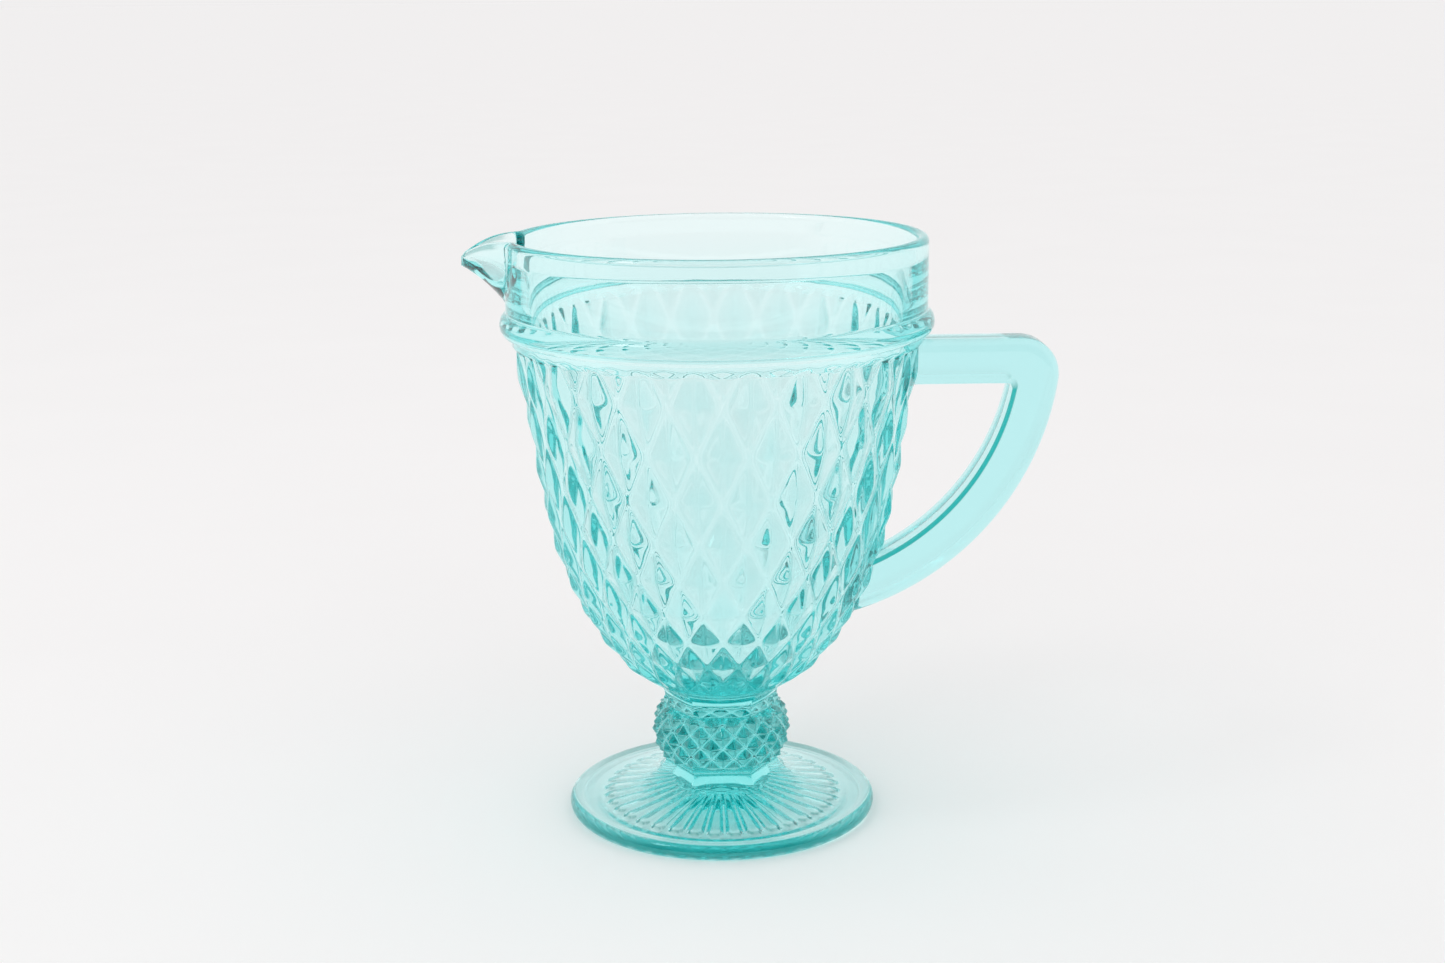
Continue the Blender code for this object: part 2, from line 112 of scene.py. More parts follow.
# Bowl
BOWL_TOP_RADIUS = 63.5 * MM
BOWL_TAPER = 0.165
BELLY_TOP = 104.5 * MM
BELLY_HEIGHT = 68.0 * MM
BELLY_POWER = 2.3
WALL = 5.6 * MM
CAVITY_TAPER = 0.204
FLOOR = 45.0 * MM
FLOOR_POWER = 2.4
NECK_FLARE_TOP = 44.7 * MM
DIAMONDS = 24
BOWL_PHASE = 0.0
HALF_ROWS = 8
ROW_SHRINK = 0.53
PATTERN_DEPTH = 2.0 * MM
PATTERN_PEAK = 0.12
PATTERN_GROOVE = 0.1
FIRST_CROSSING = 142.5 * MM
PATTERN_END = 49.8 * MM
ROW_STEPS = 14
FLARE_ROWS = 16
BELLY_ROWS = 8
CAVITY_ROWS = 34
FLOOR_ROWS = 26

# Rim band and bead
BAND_STEP = 1.4 * MM
RIM_WALL = 3.9 * MM
BEAD_SECTION = 4.0 * MM
BEAD_RISE = 5.8 * MM
BEAD_ROWS = 18
BAND_ROWS = 26
LIP_ROWS = 14
INNER_BAND_ROWS = 60
INNER_TAPER = 0.12

# Pouring spout
SPOUT_HALF_WIDTH = 16.0 * MM
SPOUT_DEPTH = 18.0 * MM
SPOUT_TIP_DEPTH = 2.4 * MM
SPOUT_TIP_DROP = 5.4 * MM
SPOUT_PLAN_POWER = 1.25
SPOUT_LIP_POWER = 1.8
SPOUT_ROUNDING = 0.2
SPOUT_TIP_WALL = 1.6 * MM
CHANNEL_HALF_WIDTH = 13.2 * MM
CHANNEL_DEPTH = 13.0 * MM
CHANNEL_TIP_DEPTH = 1.0 * MM

# Least values that the spout's shares are divided by
LEAST_DEPTH = 0.01 * MM
LEAST_WIDTH = 0.001

# Handle. The inner edges are the second and third of the four that its section goes round.
INNER_EDGES = (1, 2)
BAR_WIDTH = 14.0 * MM
BAR_THICKNESS = 16.0 * MM
OUTER_ROUNDING = 3.8 * MM
ARM_INNER_ROUNDING = 2.6 * MM
GRIP_INNER_ROUNDING = 1.4 * MM
ARM_DROP = 0.3 * MM
HANDLE_STANDOFF = 35.55 * MM
GRIP_RADIUS = 82.5 * MM
GRIP_FOOT_HEIGHT = 74.7 * MM
OUTER_CORNER = 11.5 * MM
INNER_CORNER = 1.5 * MM
SEAT_SINK = 2.2 * MM
CORNER_POINTS = 8
ARM_STATIONS = 14
BEND_STATIONS = 14
GRIP_STATIONS = 44
SEARCH_STEPS = 40

# Radii that follow
BAND_RADIUS = BOWL_TOP_RADIUS + BAND_STEP
RIM_INNER_RADIUS = BAND_RADIUS - RIM_WALL
BASE_INNER_RADIUS = BOWL_TOP_RADIUS - WALL
BEAD_CENTRE_RADIUS = BEAD_RADIUS - BEAD_SECTION
BEAD_CENTRE_HEIGHT = BAND_BASE + BEAD_RISE
SPOUT_REACH = SPOUT_TIP - BAND_RADIUS
CHANNEL_REACH = SPOUT_TIP - SPOUT_TIP_WALL - RIM_INNER_RADIUS
SHOULDER = RIM_TOP - RIM_WALL / 2

# Glass
GLASS_IOR = 1.51
ABSORPTION = 37.0
GLASS_TINT = (0.04, 0.88, 0.88, 1.0)
HANDLE_ABSORPTION = 42.0
CLEAR = (1.0, 1.0, 1.0, 1.0)
FAINT = (0.985, 0.997, 0.997, 1.0)
SATIN = (0.995, 0.966, 0.976, 1.0)
SATIN_FAINT = (0.985, 0.958, 0.968, 1.0)
WAVE_SCALE = 110.0
WAVE_HEIGHT = 0.02 * MM
GLASS_ROUGHNESS = (0.0, 0.02)
HANDLE_ROUGHNESS = (0.1, 0.16)

# Painted shade on edges, walls and facets, a deeper colour: where it lies and how much of it there is
SHADE_COLOUR = (0.004, 0.3, 0.28, 1.0)
SHADE_LAYER = "painted_shade_mask"
RIM_LINE = 1.1 * MM
RIM_SHADE = 0.8
LIP_LINE_ROWS = 4
LIP_SHADE = 0.7
LIP_FADE = 3.0 * MM
FLUTE_END_SHADE = 1.0
UNDERSIDE_SHADE = 0.08
FACET_SHADE = 0.1
FACET_EDGE = 0.14
KNOP_SHADE = 0.66
KNOP_EDGE = 0.3

# Camera, solved from the outline of the jug in the photograph
PHOTO_WIDTH = 1445
FOCAL_PIXELS = 2048.0
SENSOR_WIDTH = 36.0
CAMERA_DISTANCE = 626.4 * MM
CAMERA_HEIGHT = 255.9 * MM
CAMERA_PITCH = math.radians(13.35)
CAMERA_ROLL = math.radians(0.6)
CAMERA_AZIMUTH = math.radians(-1.2)
AXIS_OFFSET_PIXELS = 3.8

# Stage
FLOOR_SIZE = 240.0
FLOOR_DROP = 0.05 * MM
BACKDROP = (0.875, 0.862, 0.862, 1.0)
ROOM = (1.0, 1.0, 1.0, 1.0)
DIM_SIDE = (0.1, 0.1, 0.1, 1.0)
DIM_START = -0.2
DIM_END = -0.7
AMBIENT = (0.91, 0.9, 0.9, 1.0)
FLOOR_LIFT = 0.09
PAPER = (0.975, 0.97, 0.97, 1.0)
PAPER_SHADE = (0.955, 0.95, 0.95, 1.0)
PAPER_ROUGHNESS = (0.7, 0.9)
GRAIN_SCALE = 9.0
GRAIN_HEIGHT = 0.05 * MM
LAMP_PLACE = (-0.9, -0.5, 1.3)
LAMP_SIZE = 0.35
LAMP_POWER = 1.5
BOUNCES = 64
DIFFUSE_BOUNCES = 6

ANGLES = 2 * math.pi * np.arange(COLUMNS) / COLUMNS


def ring(radius, height, angles=ANGLES):
    flat = np.broadcast_to(height, angles.shape)
    return np.column_stack((radius * np.cos(angles), radius * np.sin(angles), flat))


def hexagon(apothem):
    # Distance from the axis to a hexagon's sides, with corners at 0, 60, 120 degrees
    sector = math.pi / 3
    return apothem / np.cos(ANGLES % sector - sector / 2)


def steps(start, end, count):
    # Evenly spaced values after the start, up to and with the end
    return [start + (end - start) * (i + 1) / count for i in range(count)]


def smooth(value):
    share = np.clip(value, 0.0, 1.0)
    return share * share * (3.0 - 2.0 * share)


def hump(share):
    # One halfway, and nothing at both ends
    return 4.0 * share * (1.0 - share)


def lattice(count, phase, row, angles=ANGLES):
    # Where each column lies between the two families of slanting lines, from -1 to 1 across a diamond
    turn = angles / (2 * math.pi) * count + phase
    across = 2.0 * ((turn + row / 2) % 1.0) - 1.0
    along = 2.0 * ((turn - row / 2) % 1.0) - 1.0
    return across, along


def soften(value, softness):
    # A distance from a crease, with the crease rounded. Nothing stays nothing, and one stays one.
    whole = math.sqrt(1.0 + softness ** 2) - softness
    return (np.sqrt(value ** 2 + softness ** 2) - softness) / whole


def unsoften(softened, softness):
    # The distance that soften turns into this value
    whole = math.sqrt(1.0 + softness ** 2) - softness
    return np.sqrt((softened * whole + softness) ** 2 - softness ** 2)


def diamond(count, phase, row, peak, groove):
    # Height of low four-sided pyramids with softened peaks and grooves, from one down to nothing
    across, along = lattice(count, phase, row)
    both = np.abs(across) ** RIDGE_POWER + np.abs(along) ** RIDGE_POWER
    from_peak = np.minimum(1.0, soften(both ** (1.0 / RIDGE_POWER), peak))
    return soften(1.0 - from_peak, groove)


# Foot

def flute_half_width(radius):
    share = (radius - FLUTE_INNER_RADIUS) / (FLUTE_OUTER_RADIUS - FLUTE_END - FLUTE_INNER_RADIUS)
    return FLUTE_ROOT + (FLUTE_END - FLUTE_ROOT) * min(1.0, max(0.0, share))


def flute_columns(radius):
    # Columns drawn together so that two of them follow the edges of each flute, and the distance
    # of each column from its flute's middle
    per_flute = COLUMNS // FLUTE_COUNT
    pitch = 2 * math.pi / FLUTE_COUNT
    edge_column = per_flute / FLUTE_EDGE_PART
    offset = np.arange(COLUMNS) % per_flute - per_flute / 2
    even_edge = pitch / FLUTE_EDGE_PART
    half_angle = flute_half_width(radius) / radius
    fade_in = smooth((radius - HUB_RADIUS) / (FLUTE_INNER_RADIUS - HUB_RADIUS))
    fade_out = 1.0 - smooth((radius - FLUTE_OUTER_RADIUS) / RECESS_RAMP)
    edge = even_edge + (half_angle - even_edge) * fade_in * fade_out
    outer_share = (np.abs(offset) - edge_column) / (per_flute / 2 - edge_column)
    inside = np.abs(offset) <= edge_column
    inner_turn = edge * np.abs(offset) / edge_column
    outer_turn = edge + (pitch / 2 - edge) * outer_share
    turn = np.where(inside, inner_turn, outer_turn)
    middle = (np.arange(COLUMNS) // per_flute + 0.5) * pitch
    return middle + np.sign(offset) * turn, radius * turn


def underside_recess(radius):
    # The underside stands on its edge and rises in a hollow cone to a flat hub
    inward = (HOLLOW_RADIUS - radius) / (HOLLOW_RADIUS - HUB_RADIUS)
    hollow = HOLLOW_RISE * np.clip(inward, 0.0, 1.0)
    return hollow + UNDERSIDE_RECESS * (1.0 - smooth((radius - RECESS_RADIUS) / RECESS_RAMP))


def underside_ring(radius):
    angles, offset = flute_columns(radius)
    recess = underside_recess(radius)
    half_width = flute_half_width(radius)
    past_end = max(0.0, radius - (FLUTE_OUTER_RADIUS - FLUTE_END))
    before_start = max(0.0, FLUTE_INNER_RADIUS - radius)
    distance = (offset ** 2 + past_end ** 2 + before_start ** 2) / half_width ** 2
    # Flutes with a flat bottom and steep sides, shallower where they are narrower
    depth = FLUTE_DEPTH * half_width / FLUTE_END * np.maximum(0.0, 1.0 - distance ** FLUTE_POWER)
    return ring(radius, recess + depth, angles)


def foot_rings():
    edge = FOOT_EDGE / 2
    flat_radius = FOOT_RADIUS - edge
    rings = [underside_ring(radius) for radius in steps(0.0, HUB_RADIUS, HUB_ROWS)]
    rings += [underside_ring(radius) for radius in steps(HUB_RADIUS, FLUTE_OUTER_RADIUS, FLUTE_ROWS)]
    rings += [underside_ring(radius) for radius in steps(FLUTE_OUTER_RADIUS, flat_radius, RIM_ROWS)]
    for angle in steps(-math.pi / 2, math.pi / 2 + BEAD_TURN, EDGE_ROWS):
        rings.append(ring(flat_radius + edge * math.cos(angle), edge + edge * math.sin(angle)))
    bead_radius = flat_radius - edge * math.sin(BEAD_TURN)
    bead_height = edge + edge * math.cos(BEAD_TURN)
    top = FOOT_EDGE + FOOT_RISE
    # The top rises in a hollow curve and turns six-sided under the collar
    flare = (FOOT_TOP - top) / (math.cos(FLARE_END) - math.cos(FLARE_START))
    flare_radius = STEM_RADIUS + flare * (math.sin(FLARE_START) - math.sin(FLARE_END))
    for share in steps(0.0, 1.0, FOOT_TOP_ROWS):
        radius = bead_radius + (flare_radius - bead_radius) * share
        rings.append(ring(radius, bead_height + (top - bead_height) * share))
    for angle in steps(FLARE_END, FLARE_START, COVE_ROWS):
        radius = flare_radius - flare * (math.sin(angle) - math.sin(FLARE_END))
        height = top + flare * (math.cos(FLARE_END) - math.cos(angle))
        six_sided = ((angle - FLARE_END) / (FLARE_START - FLARE_END)) ** 2
        rings.append(ring(radius + (hexagon(STEM_RADIUS) - STEM_RADIUS) * six_sided, height))
    return rings


def foot_shade(points):
    # Painted shade along the foot's outermost edge and on the walls at the flutes' outer ends, and a
    # little of it on all else below the edge's top: the underside and the ring beside the edge
    radius = np.hypot(points[:, 0], points[:, 1])
    low = points[:, 2] < FOOT_EDGE
    edge = RIM_SHADE * smooth((radius - FOOT_RADIUS + RIM_LINE) / RIM_LINE)
    wall = np.clip((points[:, 2] - underside_recess(radius)) / FLUTE_DEPTH, 0.0, 1.0)
    at_end = (radius > FLUTE_OUTER_RADIUS - FLUTE_END) & (radius < FLUTE_OUTER_RADIUS + RECESS_RAMP)
    end = FLUTE_END_SHADE * hump(wall) * at_end
    return np.where(low, np.maximum(UNDERSIDE_SHADE, np.maximum(edge, end)), 0.0)


# Stem knop

def knop_barrel(height):
    offset = (height - KNOP_MIDDLE) / KNOP_HALF_HEIGHT
    return KNOP_RADIUS - KNOP_CROWN * offset * offset


def knop_row(height):
    return (KNOP_CROSSING - height) / KNOP_HALF_ROW


def knop_relief(height):
    return diamond(KNOP_DIAMONDS, KNOP_PHASE, knop_row(height), KNOP_PEAK, KNOP_GROOVE)


def knop_ring(height):
    radius = knop_barrel(height) - KNOP_PATTERN_DEPTH * (1.0 - knop_relief(height))
    shoulder = NECK_APOTHEM + (NECK_BASE - height) / SHOULDER_FALL
    return ring(np.minimum(radius, hexagon(shoulder)), height)


def collar_rings():
    collar_top = KNOP_BASE + COLLAR_DEPTH
    return [
        ring(hexagon(COLLAR_APOTHEM - COLLAR_BEVEL), KNOP_BASE),
        ring(hexagon(COLLAR_APOTHEM), KNOP_BASE + COLLAR_BEVEL),
        ring(hexagon(COLLAR_APOTHEM), collar_top - COLLAR_BEVEL),
        ring(hexagon(COLLAR_APOTHEM - COLLAR_BEVEL), collar_top),
    ]


def knop_heights():
    row_step = KNOP_HALF_ROW / KNOP_ROW_STEPS
    collar_top = KNOP_BASE + COLLAR_DEPTH
    count = int((NECK_BASE - collar_top) / row_step)
    first = KNOP_CROSSING - row_step * int((KNOP_CROSSING - collar_top) / row_step)
    return [first + row_step * i for i in range(count)]


# Bowl

def bowl_radius(height):
    taper = BOWL_TOP_RADIUS - BOWL_TAPER * (BOWL_TOP - height)
    share = np.maximum(0.0, (BELLY_TOP - height) / BELLY_HEIGHT)
    return taper * (1.0 - share ** BELLY_POWER) ** (1.0 / BELLY_POWER)


def cavity_radius(height):
    taper = BASE_INNER_RADIUS - CAVITY_TAPER * (BOWL_TOP - height)
    share = max(0.0, (BELLY_TOP - height) / (BELLY_TOP - FLOOR))
    return taper * max(0.0, 1.0 - share ** FLOOR_POWER) ** (1.0 / FLOOR_POWER)


def row_height(row):
    # Height of a lattice row, in half rows below the first crossing. Half rows shrink towards the base.
    shrink = (1.0 - ROW_SHRINK) / (HALF_ROWS - 1)
    first_step = (FIRST_CROSSING - PATTERN_END) / (HALF_ROWS * (1.0 + ROW_SHRINK) / 2)
    return FIRST_CROSSING - first_step * (row - shrink * row * (row - 1) / 2)


def bowl_rows():
    rows = [HALF_ROWS - i / ROW_STEPS for i in range(HALF_ROWS * ROW_STEPS + 1)]
    while row_height(rows[-1] - 1 / ROW_STEPS) < BOWL_TOP:
        rows.append(rows[-1] - 1 / ROW_STEPS)
    return rows


def bowl_relief(row):
    return diamond(DIAMONDS, BOWL_PHASE, row, PATTERN_PEAK, PATTERN_GROOVE)


def bowl_ring(row):
    height = row_height(row)
    return ring(bowl_radius(height) - PATTERN_DEPTH * (1.0 - bowl_relief(row)), height)


def neck_rings():
    rings = [
        ring(hexagon(NECK_APOTHEM), NECK_BASE),
        ring(hexagon(NECK_APOTHEM), NECK_TOP - COLLAR_BEVEL),
        ring(hexagon(NECK_APOTHEM - COLLAR_BEVEL), NECK_TOP),
    ]
    round_radius = bowl_radius(NECK_FLARE_TOP) - PATTERN_DEPTH / 2
    for share in steps(0.0, 1.0, FLARE_ROWS):
        # A cove from six-sided at the neck to round under the bowl
        flare = share * share
        radius = round_radius * flare + hexagon(NECK_APOTHEM - COLLAR_BEVEL) * (1.0 - flare)
        rings.append(ring(radius, NECK_TOP + (NECK_FLARE_TOP - NECK_TOP) * share))
    # From plain to the outline of the pattern's lowest row
    grooves = PATTERN_DEPTH * (1.0 - bowl_relief(HALF_ROWS))
    for height in steps(NECK_FLARE_TOP, PATTERN_END, BELLY_ROWS)[:-1]:
        fade = smooth((height - NECK_FLARE_TOP) / (PATTERN_END - NECK_FLARE_TOP))
        plain = bowl_radius(height) - PATTERN_DEPTH / 2
        patterned = bowl_radius(height) - grooves
        rings.append(ring(plain + (patterned - plain) * fade, height))
    return rings


# Rim band, bead and spout

def spout_share(x):
    # How far out along the spout: nothing inside the band's outer face, and one at the tip
    return np.clip((-x - BAND_RADIUS) / SPOUT_REACH, 0.0, 1.0)


def lip_rounding(x):
    # Height of the lip's rounded top, half the wall, thinner towards the spout's tip
    return (RIM_WALL + (SPOUT_TIP_WALL - RIM_WALL) * spout_share(x)) / 2


def lip_height(x):
    # Where the lip's rounding starts, level round the rim and falling towards the spout's tip
    return RIM_TOP - SPOUT_TIP_DROP * spout_share(x) ** SPOUT_LIP_POWER - lip_rounding(x)


def trough(points, reach, half_width, depth, tip_depth):
    # Part of a ring near -X drawn out into a trough of half-ellipse sections, which narrows to a tip
    x, y, z = points.T
    across = np.minimum(1.0, np.abs(y) / half_width)
    base = SHOULDER - depth * np.sqrt(1.0 - across ** 2)
    rise = np.clip((z - base) / np.maximum(SHOULDER - base, LEAST_DEPTH), 0.0, 1.0)
    farthest = (1.0 - soften(across, SPOUT_ROUNDING)) ** (1.0 / SPOUT_PLAN_POWER)
    share = farthest * (1.0 - (1.0 - rise) ** 2)
    width = np.maximum(unsoften(1.0 - share ** SPOUT_PLAN_POWER, SPOUT_ROUNDING), across)
    level = np.where(width > 0.0, across / np.maximum(width, LEAST_WIDTH), 1.0)
    section = depth + (tip_depth - depth) * share
    out = x - reach * share
    hung = lip_height(out) - section * np.sqrt(1.0 - level ** 2)
    moved = np.column_stack((out, y, np.where(rise > 0.0, hung, z)))
    return np.where((x < 0)[:, None], moved, points)


def outer_spout(points):
    return trough(points, SPOUT_REACH, SPOUT_HALF_WIDTH, SPOUT_DEPTH, SPOUT_TIP_DEPTH)


def inner_spout(points):
    return trough(points, CHANNEL_REACH, CHANNEL_HALF_WIDTH, CHANNEL_DEPTH, CHANNEL_TIP_DEPTH)


def lip_ring(outer, inner, angle):
    # Over the rounded lip, from the outer face to the inner one
    middle = (outer + inner) / 2
    points = middle + (outer - inner) / 2 * math.cos(angle)
    rounding = (lip_rounding(outer[:, 0]) + lip_rounding(inner[:, 0])) / 2
    points[:, 2] += rounding * math.sin(angle)
    return points


def inner_band_radius(height):
    # Straight under the rim, then slowly thicker down to the bowl
    return min(RIM_INNER_RADIUS, BASE_INNER_RADIUS + INNER_TAPER * (height - BOWL_TOP))


def band_rings():
    start = -math.acos((BOWL_TOP_RADIUS - BEAD_CENTRE_RADIUS) / BEAD_SECTION)
    end = math.acos((BAND_RADIUS - BEAD_CENTRE_RADIUS) / BEAD_SECTION)
    rings = [ring(BOWL_TOP_RADIUS, BAND_BASE)]
    for angle in [start] + steps(start, end, BEAD_ROWS):
        radius = BEAD_CENTRE_RADIUS + BEAD_SECTION * math.cos(angle)
        rings.append(ring(radius, BEAD_CENTRE_HEIGHT + BEAD_SECTION * math.sin(angle)))
    bead_top = BEAD_CENTRE_HEIGHT + BEAD_SECTION * math.sin(end)
    rings += [outer_spout(ring(BAND_RADIUS, height)) for height in steps(bead_top, SHOULDER, BAND_ROWS)]
    inner_lip = inner_spout(ring(RIM_INNER_RADIUS, SHOULDER))
    rings += [lip_ring(rings[-1], inner_lip, angle) for angle in steps(0.0, math.pi, LIP_ROWS)]
    for height in steps(SHOULDER, BOWL_TOP, INNER_BAND_ROWS):
        rings.append(inner_spout(ring(inner_band_radius(height), height)))
    return rings


def cavity_rings():
    rings = [ring(cavity_radius(height), height) for height in steps(BOWL_TOP, BELLY_TOP, CAVITY_ROWS)]
    for angle in steps(0.0, math.pi / 2, FLOOR_ROWS)[:-1]:
        height = BELLY_TOP + (FLOOR - BELLY_TOP) * math.sin(angle)
        rings.append(ring(cavity_radius(height), height))
    return rings


# The skin of the glass body

def leaning(count, phase, row):
    # Which diagonal of each square runs along the nearer lattice line
    middles = ANGLES + math.pi / COLUMNS
    across, along = lattice(count, phase, row, middles)
    return np.abs(along) > np.abs(across)


def strip(first, falling):
    # Two triangles for each square between one ring and the next
    low = first + np.arange(COLUMNS)
    low_next = first + (np.arange(COLUMNS) + 1) % COLUMNS
    high = low + COLUMNS
    high_next = low_next + COLUMNS
    third = np.where(falling, high, high_next)
    start = np.where(falling, low_next, low)
    lower = np.column_stack((low, low_next, third))
    upper = np.column_stack((start, high_next, high))
    return np.concatenate((lower, upper))


def skin(rings, leans, bottom, top):
    # A closed surface through all the rings, with a point at each end
    points = np.concatenate(rings + [[(0.0, 0.0, bottom), (0.0, 0.0, top)]])
    upright = np.zeros(COLUMNS, bool)
    faces = [strip(k * COLUMNS, leans.get(k, upright)) for k in range(len(rings) - 1)]
    here = np.arange(COLUMNS)
    after = (here + 1) % COLUMNS
    last = (len(rings) - 1) * COLUMNS
    bottom_point = np.full(COLUMNS, len(points) - 2)
    top_point = np.full(COLUMNS, len(points) - 1)
    faces.append(np.column_stack((bottom_point, after, here)))
    faces.append(np.column_stack((last + here, last + after, top_point)))
    return points, np.concatenate(faces).tolist()


def mesh_object(name, points, faces, shade_amount):
    # A smooth mesh that carries how much painted shade it has at each point
    mesh = bpy.data.meshes.new(name)
    mesh.from_pydata(points.tolist(), [], faces)
    mesh.shade_smooth()
    layer = mesh.attributes.new(SHADE_LAYER, "FLOAT", "POINT")
    layer.data.foreach_set("value", shade_amount)
    item = bpy.data.objects.new(name, mesh)
    bpy.context.scene.collection.objects.link(item)
    return item


def make_body():
    rings = foot_rings() + collar_rings()
    leans = {}
    # Painted shade on the facets, so that the grooves between them show lighter: a little on the bowl,
    # and much more on the knop
    facet_shade = {}
    for height in knop_heights():
        middle = height + KNOP_HALF_ROW / KNOP_ROW_STEPS / 2
        leans[len(rings)] = leaning(KNOP_DIAMONDS, KNOP_PHASE, knop_row(middle))
        facet_shade[len(rings)] = KNOP_SHADE * smooth(knop_relief(height) / KNOP_EDGE)
        rings.append(knop_ring(height))
    rings += neck_rings()
    for row in bowl_rows():
        leans[len(rings)] = leaning(DIAMONDS, BOWL_PHASE, row - 1 / ROW_STEPS / 2)
        facet_shade[len(rings)] = FACET_SHADE * smooth(bowl_relief(row) / FACET_EDGE)
        rings.append(bowl_ring(row))
    # The painted dark line on the spout's lip lies on the band's last ring and the first ones over the
    # lip
    lip_start = len(rings) + BEAD_ROWS + BAND_ROWS + 1
    rings += band_rings() + cavity_rings()
    points, faces = skin(rings, leans, underside_recess(0.0), FLOOR)
    # Painted shade on the foot, the facets and the spout's lip
    shade_amount = foot_shade(points)
    for k, values in facet_shade.items():
        shade_amount[k * COLUMNS:(k + 1) * COLUMNS] = values
    lip = slice(lip_start * COLUMNS, (lip_start + LIP_LINE_ROWS) * COLUMNS)
    shade_amount[lip] = LIP_SHADE * smooth((-points[lip, 0] - BAND_RADIUS) / LIP_FADE)
    return mesh_object("jug_body", points, faces, shade_amount)


# Handle

def grip_centre():
    start_x = BOWL_TOP_RADIUS + HANDLE_STANDOFF
    start_z = BOWL_TOP - ARM_DROP - BAR_WIDTH / 2
    end_x = float(bowl_radius(GRIP_FOOT_HEIGHT))
    chord = math.hypot(end_x - start_x, GRIP_FOOT_HEIGHT - start_z)
    rise = math.sqrt(GRIP_RADIUS ** 2 - (chord / 2) ** 2)
    inward_x = (GRIP_FOOT_HEIGHT - start_z) / chord
    inward_z = (start_x - end_x) / chord
    return (start_x + end_x) / 2 + inward_x * rise, (start_z + GRIP_FOOT_HEIGHT) / 2 + inward_z * rise


def bar_section(inner_rounding):
    # A rectangle, as shares of the bar's half width and as offsets across its thickness. Its edges
    # are rounder on the outside of the handle than on the inside.
    points = []
    half = BAR_WIDTH / 2
    for corner in range(4):
        outward = -1 if corner in INNER_EDGES else 1
        side = 1 if corner in (0, 1) else -1
        rounding = OUTER_ROUNDING if outward > 0 else inner_rounding
        for k in range(CORNER_POINTS):
            angle = math.pi / 2 * (corner + k / (CORNER_POINTS - 1))
            in_plane = outward * (half - rounding) + rounding * math.cos(angle)
            across = side * (BAR_THICKNESS / 2 - rounding) + rounding * math.sin(angle)
            points.append((in_plane / half, across))
    return np.array(points)


def corner_fillet(centre, circle_radius, line_height, fillet):
    # A fillet inside a circle and under a level line: its middle, and its angle where it leaves
    # the circle
    height = line_height - fillet
    x = centre[0] + math.sqrt((circle_radius - fillet) ** 2 - (height - centre[1]) ** 2)
    return x, height, math.atan2(height - centre[1], x - centre[0])


def blend_across(share, inner, outer):
    # A value between the bar's inner and outer edges, for shares from -1 to 1
    return inner + (outer - inner) * (share + 1.0) / 2


def grip_end_angles(centre, radius, across, start):
    # The turn at which each lengthwise line of the grip has sunk into the bowl's wall
    outside = np.array(start)
    inside = np.full(len(radius), -math.pi / 2)
    for _ in range(SEARCH_STEPS):
        middle = (outside + inside) / 2
        x = centre[0] + radius * np.cos(middle)
        z = centre[1] + radius * np.sin(middle)
        sunk = np.hypot(x, across) < bowl_radius(z) - SEAT_SINK
        inside = np.where(sunk, middle, inside)
        outside = np.where(sunk, outside, middle)
    return inside


def handle_rings():
    centre = grip_centre()
    share, across = bar_section(ARM_INNER_ROUNDING).T
    grip_share, grip_across = bar_section(GRIP_INNER_ROUNDING).T
    arm_top = BOWL_TOP - ARM_DROP
    arm_bottom = arm_top - BAR_WIDTH
    outer_radius = GRIP_RADIUS + BAR_WIDTH / 2
    inner_radius = GRIP_RADIUS - BAR_WIDTH / 2
    outer_x, outer_z, outer_turn = corner_fillet(centre, outer_radius, arm_top, OUTER_CORNER)
    inner_x, inner_z, inner_turn = corner_fillet(centre, inner_radius, arm_bottom, INNER_CORNER)
    height = blend_across(share, arm_bottom, arm_top)
    arm_start = np.sqrt((bowl_radius(height) - SEAT_SINK) ** 2 - across ** 2)
    arm_end = blend_across(share, inner_x, outer_x)
    rings = [np.column_stack((arm_start, across, height))]
    for along in steps(0.0, 1.0, ARM_STATIONS):
        rings.append(np.column_stack((arm_start + (arm_end - arm_start) * along, across, height)))
    for along in steps(0.0, 1.0, BEND_STATIONS):
        outer_angle = math.pi / 2 + (outer_turn - math.pi / 2) * along
        inner_angle = math.pi / 2 + (inner_turn - math.pi / 2) * along
        bend_share = share + (grip_share - share) * along
        x = blend_across(bend_share, inner_x + INNER_CORNER * math.cos(inner_angle),
                         outer_x + OUTER_CORNER * math.cos(outer_angle))
        z = blend_across(bend_share, inner_z + INNER_CORNER * math.sin(inner_angle),
                         outer_z + OUTER_CORNER * math.sin(outer_angle))
        rings.append(np.column_stack((x, across + (grip_across - across) * along, z)))
    across = grip_across
    radius = blend_across(grip_share, inner_radius, outer_radius)
    start = np.arctan2(rings[-1][:, 2] - centre[1], rings[-1][:, 0] - centre[0])
    end = grip_end_angles(centre, radius, across, start)
    for along in steps(0.0, 1.0, GRIP_STATIONS):
        angle = start + (end - start) * along
        x = centre[0] + radius * np.cos(angle)
        z = centre[1] + radius * np.sin(angle)
        rings.append(np.column_stack((x, across, z)))
    return rings


def grip_edge_shade(ring_count, count):
    # Painted shade: one along the roundings of the grip's two inner edges, and nothing elsewhere, with
    # the points where a rounding meets a flat side left out
    section = np.zeros(count)
    for edge in INNER_EDGES:
        first = edge * CORNER_POINTS
        section[first + 1:first + CORNER_POINTS - 1] = 1.0
    along = smooth((np.arange(ring_count) - ARM_STATIONS) / BEND_STATIONS)
    end_points = np.zeros(2)
    return np.concatenate((np.outer(along, section).ravel(), end_points))


